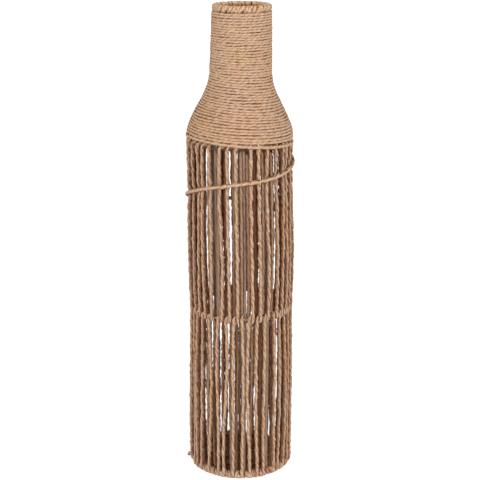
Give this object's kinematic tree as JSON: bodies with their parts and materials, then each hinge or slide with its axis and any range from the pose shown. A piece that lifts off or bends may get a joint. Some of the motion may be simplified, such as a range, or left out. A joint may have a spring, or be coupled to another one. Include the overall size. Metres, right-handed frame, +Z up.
{
  "type": "fibre bottle vase",
  "caption": "Tall bottle-shaped floor vase of twisted natural cord, wound and laced over a wire frame.",
  "frame": {"origin": "centre of the base, on the plane that the vase stands on", "axes": "+Z up along the vase's axis, -Y towards the front"},
  "size_m": [0.1404, 0.1399, 0.5996],
  "materials": {
    "frame_wire": "satin brown",
    "rim_cord": "matt fibre",
    "wound_cord": "matt fibre",
    "laced_cord": "matt fibre",
    "base_cord": "matt fibre"
  },
  "bodies": {
    "root": {"base_coil": "base_cord", "base_ring": "frame_wire", "lower_lacing_01": "laced_cord", "lower_lacing_02": "laced_cord", "lower_lacing_03": "laced_cord", "lower_lacing_04": "laced_cord", "lower_lacing_05": "laced_cord", "lower_lacing_06": "laced_cord", "lower_lacing_07": "laced_cord", "lower_lacing_08": "laced_cord", "lower_lacing_09": "laced_cord", "lower_lacing_10": "laced_cord", "mid_ring": "frame_wire", "neck_winding": "wound_cord", "rib_01": "frame_wire", "rib_02": "frame_wire", "rib_03": "frame_wire", "rib_04": "frame_wire", "rib_05": "frame_wire", "rib_06": "frame_wire", "rib_07": "frame_wire", "rib_08": "frame_wire", "rib_09": "frame_wire", "rib_10": "frame_wire", "rim_ring": "frame_wire", "rim_whipping": "rim_cord", "shoulder_ring": "frame_wire", "shoulder_winding": "wound_cord", "trailing_cord": "wound_cord", "upper_lacing_01": "laced_cord", "upper_lacing_02": "laced_cord", "upper_lacing_03": "laced_cord", "upper_lacing_04": "laced_cord", "upper_lacing_05": "laced_cord", "upper_lacing_06": "laced_cord", "upper_lacing_07": "laced_cord", "upper_lacing_08": "laced_cord", "upper_lacing_09": "laced_cord", "upper_lacing_10": "laced_cord"}
  },
  "joints": []
}
